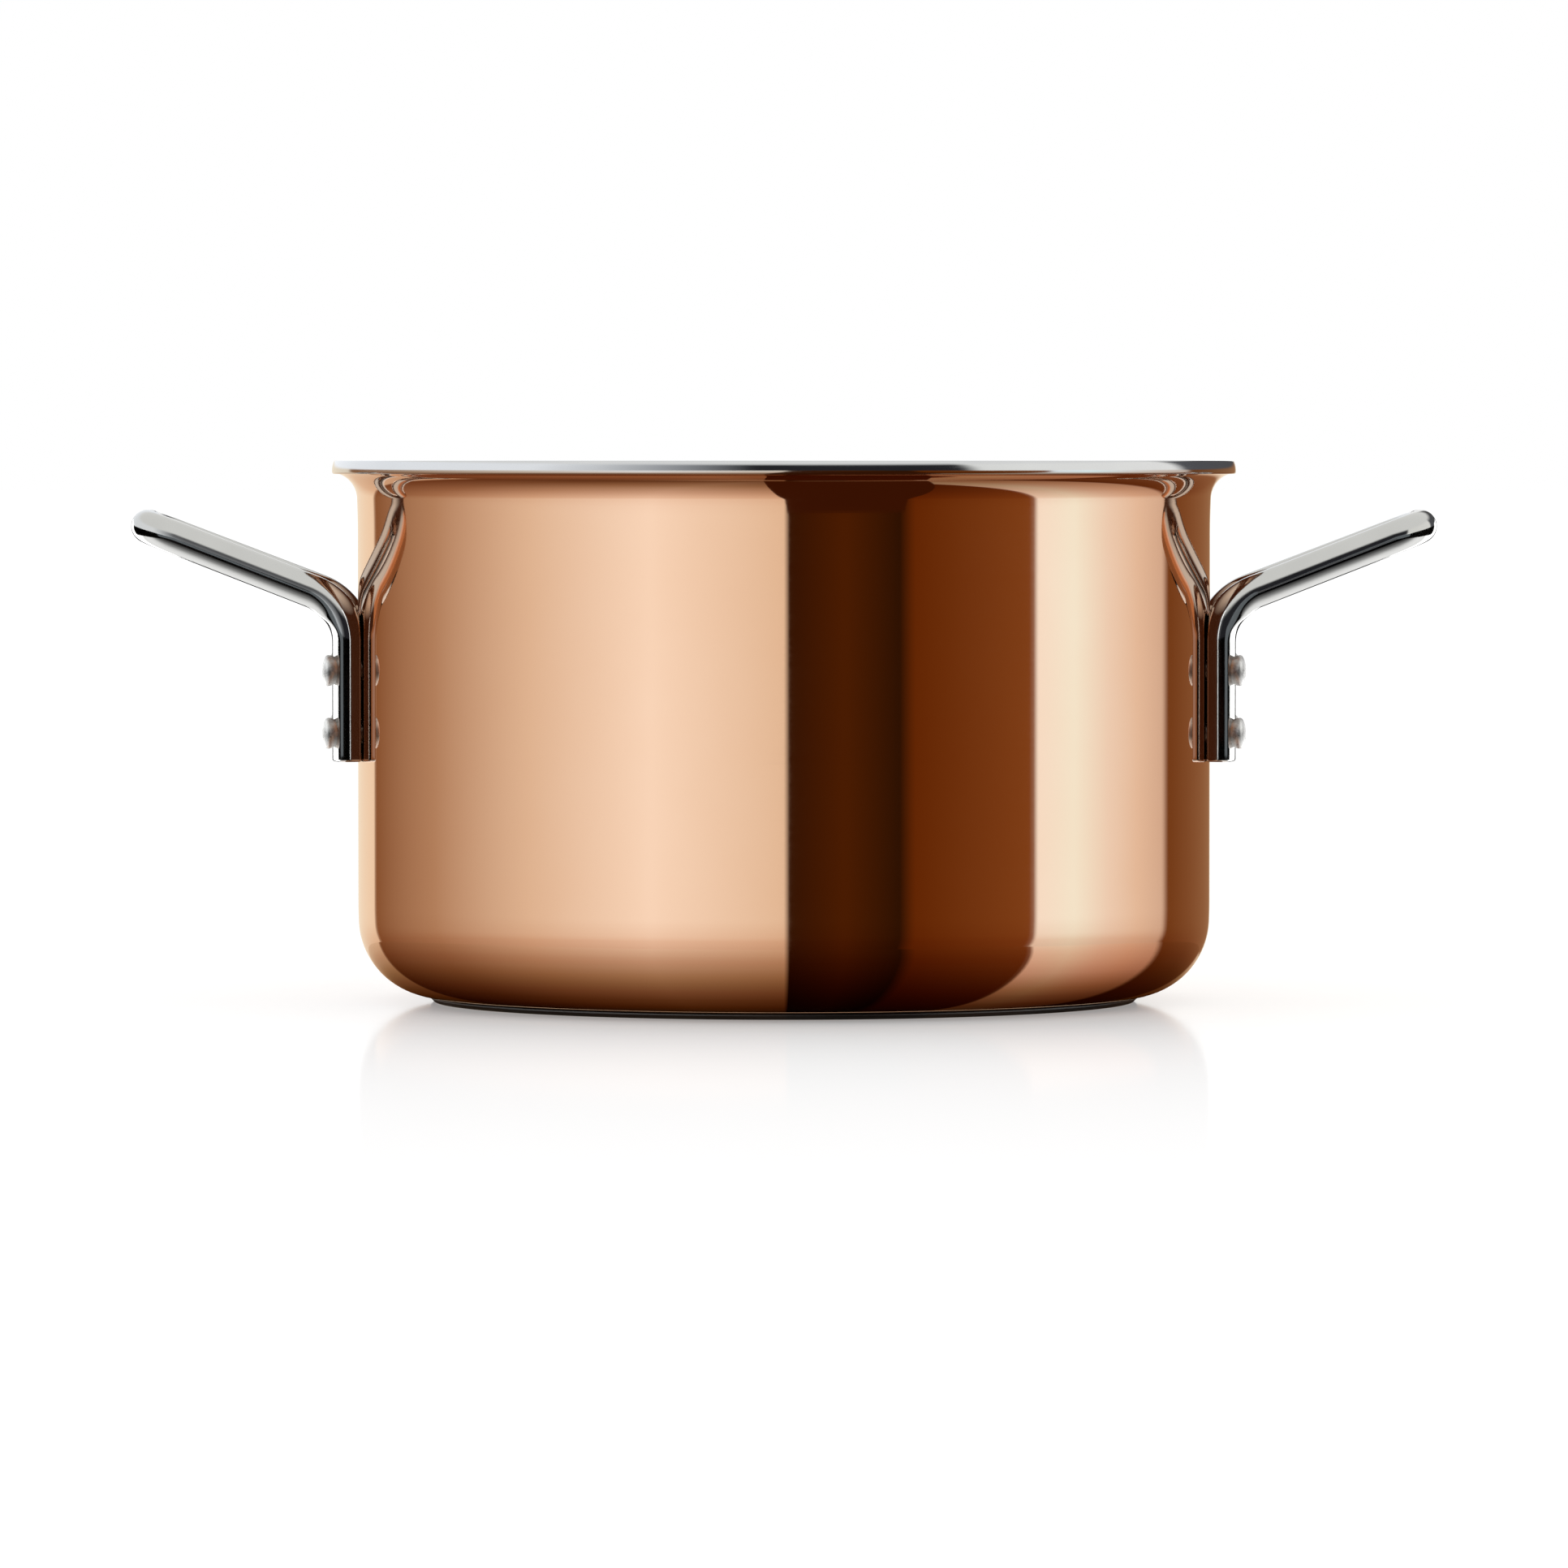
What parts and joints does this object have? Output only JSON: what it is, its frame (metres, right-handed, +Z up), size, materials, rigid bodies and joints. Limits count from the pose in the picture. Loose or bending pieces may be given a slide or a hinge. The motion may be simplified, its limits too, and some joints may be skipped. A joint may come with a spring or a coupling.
{
  "type": "cooking pot",
  "caption": "Round copper-clad cooking pot with a steel lining and rim, a dark base plate and riveted hairpin rod handles on both sides.",
  "frame": {"origin": "centre of the base plate's underside, on the surface that the pot stands on", "axes": "+X along the two handles, towards the right one as pictured; +Y away from the viewer; +Z up, along the vessel's axis"},
  "size_m": [0.3142, 0.2174, 0.13],
  "materials": {
    "copper": "polished copper, finely spun, clear and bare",
    "core": "rolled aluminium, hidden between copper and lining",
    "lining": "stainless steel, satin inside with a polished rim",
    "base": "dark magnetic steel, turned",
    "handle": "polished stainless steel rod",
    "rivet": "blasted stainless steel"
  },
  "bodies": {
    "root": {"copper_shell": "copper", "aluminium_core": "core", "steel_liner": "lining", "base_plate": "base", "handle_right": "handle", "handle_left": "handle", "rivet_right_front_upper": "rivet", "rivet_right_front_lower": "rivet", "rivet_right_back_upper": "rivet", "rivet_right_back_lower": "rivet", "rivet_left_front_upper": "rivet", "rivet_left_front_lower": "rivet", "rivet_left_back_upper": "rivet", "rivet_left_back_lower": "rivet"}
  },
  "joints": []
}
